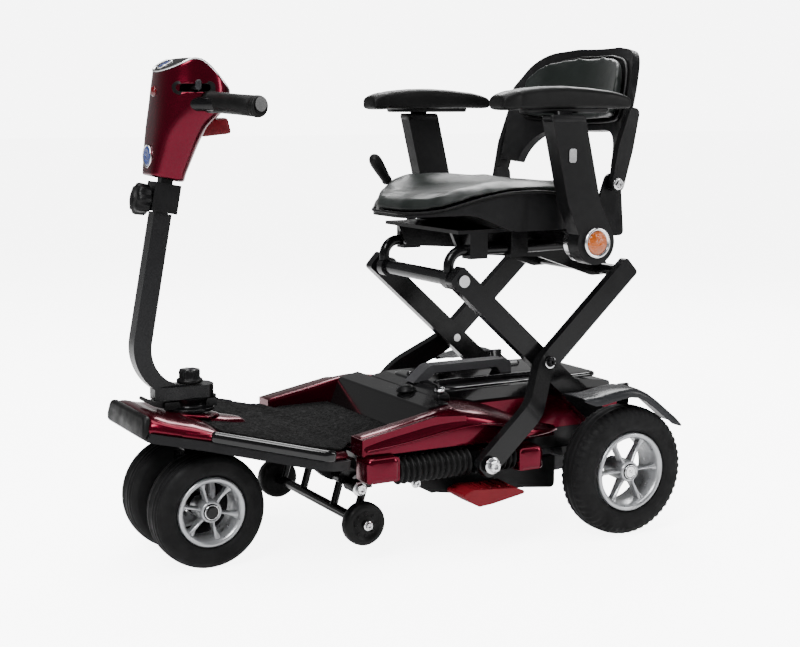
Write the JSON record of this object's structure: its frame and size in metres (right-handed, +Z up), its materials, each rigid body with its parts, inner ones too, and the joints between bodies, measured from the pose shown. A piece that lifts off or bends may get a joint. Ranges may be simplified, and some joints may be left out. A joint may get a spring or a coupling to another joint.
{
  "type": "mobility scooter",
  "caption": "Folding mobility scooter: glossy red body, tiller with handlebar, scissor lift seat, flip armrests and folding backrest.",
  "frame": {"origin": "middle of the footprint's bounding box, on the floor", "axes": "+X forward towards the steering head, +Y the rider's left, +Z up"},
  "size_m": [0.9198, 0.516, 0.8189],
  "materials": {
    "candy_red": "deep metallic red, high gloss clear coat",
    "gloss_black": "black, high gloss",
    "tray_grey": "dark grey, fine texture",
    "black_plastic": "black, fine texture",
    "fender_grey": "grey, satin",
    "handle_grey": "mid grey top, satin",
    "black_steel": "black powder coat, satin",
    "graphite_steel": "graphite metallic, satin",
    "plated_steel": "bright plated",
    "rim_aluminium": "silver paint",
    "tyre": "black rubber",
    "black_rubber": "black, matte",
    "mat": "black, looped texture",
    "battery_case": "dark plastic case with cells",
    "drive_unit": "cast housing, grey",
    "seat_vinyl": "grey-green sheen vinyl, fine grain",
    "amber_lens": "amber reflector",
    "red_lens": "red lens",
    "pedal_red": "pinkish red, matte"
  },
  "bodies": {
    "chassis": {"rear_frame": "black_steel", "rear_body_cover": "candy_red", "top_cover": "gloss_black", "battery_pack": "battery_case", "transaxle": "drive_unit", "bellows": "black_rubber", "fenders": "fender_grey", "tail_lights": "red_lens", "lift_handle": "handle_grey", "floor_mat_rear": "mat", "belly_pan": "black_plastic", "mid_wheel_bracket": "black_steel", "frame_bolts": "plated_steel"},
    "release_pedal": {"release_pedal": "pedal_red"},
    "rear_wheel_left": {"rear_tyre_left": "tyre", "rear_rim_left": "rim_aluminium"},
    "rear_wheel_right": {"rear_tyre_right": "tyre", "rear_rim_right": "rim_aluminium"},
    "mid_wheel_left": {"mid_wheel_left": "black_rubber"},
    "mid_wheel_right": {"mid_wheel_right": "black_rubber"},
    "front_deck": {"front_tray": "tray_grey", "front_cover": "candy_red", "bumper_pad": "black_rubber", "side_strips": "gloss_black", "floor_mat_front": "mat"},
    "steering": {"steering_fork": "black_steel"},
    "front_wheel_left": {"front_tyre_left": "tyre", "front_rim_left": "rim_aluminium"},
    "front_wheel_right": {"front_tyre_right": "tyre", "front_rim_right": "rim_aluminium"},
    "tiller": {"tiller_stem": "graphite_steel", "pivot_knob": "black_plastic", "stem_collar": "black_plastic"},
    "tiller_latch": {"tiller_latch": "black_steel"},
    "height_knob": {"height_knob": "black_plastic"},
    "head": {"handlebar": "black_steel", "head_shell": "candy_red", "console_panel": "gloss_black", "grips": "black_rubber"},
    "throttle_lever": {"throttle_lever": "black_plastic"},
    "speed_dial": {"speed_dial": "black_plastic"},
    "lift_arms": {"lift_arms": "black_steel", "scissor_pins": "plated_steel"},
    "cross_arms": {"cross_arms": "black_steel"},
    "slide_carriages": {"slide_carriages": "black_steel"},
    "seat_loops": {"seat_loops": "black_steel"},
    "seat": {"seat_base": "black_steel", "seat_pan": "black_plastic", "seat_cushion": "seat_vinyl", "armrest_hubs": "plated_steel", "reflectors": "amber_lens"},
    "seat_lever": {"seat_lever": "black_plastic"},
    "armrest_left": {"armrest_post_left": "black_plastic"},
    "armrest_right": {"armrest_post_right": "black_plastic"},
    "armrest_pad_left": {"armrest_pad_left": "black_rubber"},
    "armrest_pad_right": {"armrest_pad_right": "black_rubber"},
    "armrest_button_left": {"armrest_button_left": "plated_steel"},
    "armrest_button_right": {"armrest_button_right": "plated_steel"},
    "backrest": {"back_shell": "black_plastic", "back_cushion": "seat_vinyl"}
  },
  "joints": [
    {"name": "pedal_press", "type": "hinge", "parent": "chassis", "child": "release_pedal", "pos_m": [-0.07903, 0.175, 0.101], "axis": [-1, 0, 0], "range_deg": [0, 12], "stiffness_Nm_per_rad": 2},
    {"name": "rear_wheel_left_spin", "type": "hinge", "parent": "chassis", "child": "rear_wheel_left", "pos_m": [-0.33403, 0.227, 0.11], "axis": [0, 1, 0], "continuous": true},
    {"name": "rear_wheel_right_spin", "type": "hinge", "parent": "chassis", "child": "rear_wheel_right", "pos_m": [-0.33403, -0.227, 0.11], "axis": [0, 1, 0], "continuous": true},
    {"name": "mid_wheel_left_spin", "type": "hinge", "parent": "chassis", "child": "mid_wheel_left", "pos_m": [0.12597, 0.165, 0.064], "axis": [0, 1, 0], "continuous": true},
    {"name": "mid_wheel_right_spin", "type": "hinge", "parent": "chassis", "child": "mid_wheel_right", "pos_m": [0.12597, -0.165, 0.064], "axis": [0, 1, 0], "continuous": true},
    {"name": "deck_fold", "type": "hinge", "parent": "chassis", "child": "front_deck", "pos_m": [0.13997, 0, 0.13], "axis": [0, 1, 0], "range_deg": [0, 50]},
    {"name": "steer", "type": "hinge", "parent": "front_deck", "child": "steering", "pos_m": [0.34897, 0, 0.0925], "axis": [0, 0, 1], "range_deg": [-40, 40]},
    {"name": "front_wheel_left_spin", "type": "hinge", "parent": "steering", "child": "front_wheel_left", "pos_m": [0.34897, 0.06, 0.0925], "axis": [0, 1, 0], "continuous": true},
    {"name": "front_wheel_right_spin", "type": "hinge", "parent": "steering", "child": "front_wheel_right", "pos_m": [0.34897, -0.06, 0.0925], "axis": [0, 1, 0], "continuous": true},
    {"name": "tiller_fold", "type": "hinge", "parent": "steering", "child": "tiller", "pos_m": [0.31597, 0, 0.254], "axis": [0, -1, 0], "range_deg": [0, 35]},
    {"name": "latch_lift", "type": "hinge", "parent": "steering", "child": "tiller_latch", "pos_m": [0.39097, 0, 0.2525], "axis": [0, 1, 0], "range_deg": [0, 10], "stiffness_Nm_per_rad": 0.2},
    {"name": "height_knob_turn", "type": "hinge", "parent": "tiller", "child": "height_knob", "pos_m": [0.41748, 0, 0.57529], "axis": [0.9826, 0, 0.1857], "range_deg": [-180, 180]},
    {"name": "tiller_height", "type": "slide", "parent": "tiller", "child": "head", "axis": [-0.1857, 0, 0.9826], "range_m": [0, 0.06]},
    {"name": "throttle", "type": "hinge", "parent": "head", "child": "throttle_lever", "pos_m": [0.35397, 0, 0.744], "axis": [0, 0, 1], "range_deg": [-15, 15], "stiffness_Nm_per_rad": 0.3},
    {"name": "speed_dial_turn", "type": "hinge", "parent": "head", "child": "speed_dial", "pos_m": [0.31597, 0, 0.7711], "axis": [-0.7422, 0, 0.6702], "range_deg": [0, 270]},
    {"name": "seat_lift", "type": "hinge", "parent": "chassis", "child": "lift_arms", "pos_m": [-0.38203, 0, 0.15], "axis": [0, 1, 0], "range_deg": [0, 20], "deforming": ["bellows"]},
    {"name": "cross_arm_turn", "type": "hinge", "parent": "lift_arms", "child": "cross_arms", "pos_m": [-0.22503, 0, 0.293], "axis": [0, 1, 0], "range_deg": [-40, 0]},
    {"name": "carriage_turn", "type": "hinge", "parent": "cross_arms", "child": "slide_carriages", "pos_m": [-0.06803, 0, 0.15], "axis": [0, 1, 0], "range_deg": [0, 20]},
    {"name": "loop_turn", "type": "hinge", "parent": "lift_arms", "child": "seat_loops", "pos_m": [-0.06803, 0, 0.436], "axis": [0, 1, 0], "range_deg": [-20, 0]},
    {"name": "seat_turn", "type": "hinge", "parent": "cross_arms", "child": "seat", "pos_m": [-0.38203, 0, 0.436], "axis": [0, 1, 0], "range_deg": [0, 20]},
    {"name": "seat_lever_pull", "type": "hinge", "parent": "seat", "child": "seat_lever", "pos_m": [-0.17403, -0.2108, 0.505], "axis": [0, -1, 0], "range_deg": [0, 25]},
    {"name": "armrest_left_flip", "type": "hinge", "parent": "seat", "child": "armrest_left", "pos_m": [-0.25903, 0.231, 0.498], "axis": [0, -1, 0], "range_deg": [0, 95]},
    {"name": "armrest_right_flip", "type": "hinge", "parent": "seat", "child": "armrest_right", "pos_m": [-0.25903, -0.231, 0.498], "axis": [0, -1, 0], "range_deg": [0, 95]},
    {"name": "armrest_pad_left_height", "type": "slide", "parent": "armrest_left", "child": "armrest_pad_left", "axis": [0.2323, 0, 0.9727], "range_m": [0, 0.05]},
    {"name": "armrest_pad_right_height", "type": "slide", "parent": "armrest_right", "child": "armrest_pad_right", "axis": [0.2323, 0, 0.9727], "range_m": [0, 0.05]},
    {"name": "armrest_button_left_press", "type": "slide", "parent": "armrest_left", "child": "armrest_button_left", "axis": [0, -1, 0], "range_m": [0, 0.003], "stiffness_N_per_m": 400},
    {"name": "armrest_button_right_press", "type": "slide", "parent": "armrest_right", "child": "armrest_button_right", "axis": [0, 1, 0], "range_m": [0, 0.003], "stiffness_N_per_m": 400},
    {"name": "backrest_fold", "type": "hinge", "parent": "seat", "child": "backrest", "pos_m": [-0.34803, 0, 0.588], "axis": [0, 1, 0], "range_deg": [0, 70]}
  ],
  "couplings": [
    {"joint": "cross_arm_turn", "follows": "seat_lift", "ratio": -2},
    {"joint": "carriage_turn", "follows": "seat_lift", "ratio": 1},
    {"joint": "loop_turn", "follows": "seat_lift", "ratio": -1},
    {"joint": "seat_turn", "follows": "seat_lift", "ratio": 1}
  ]
}
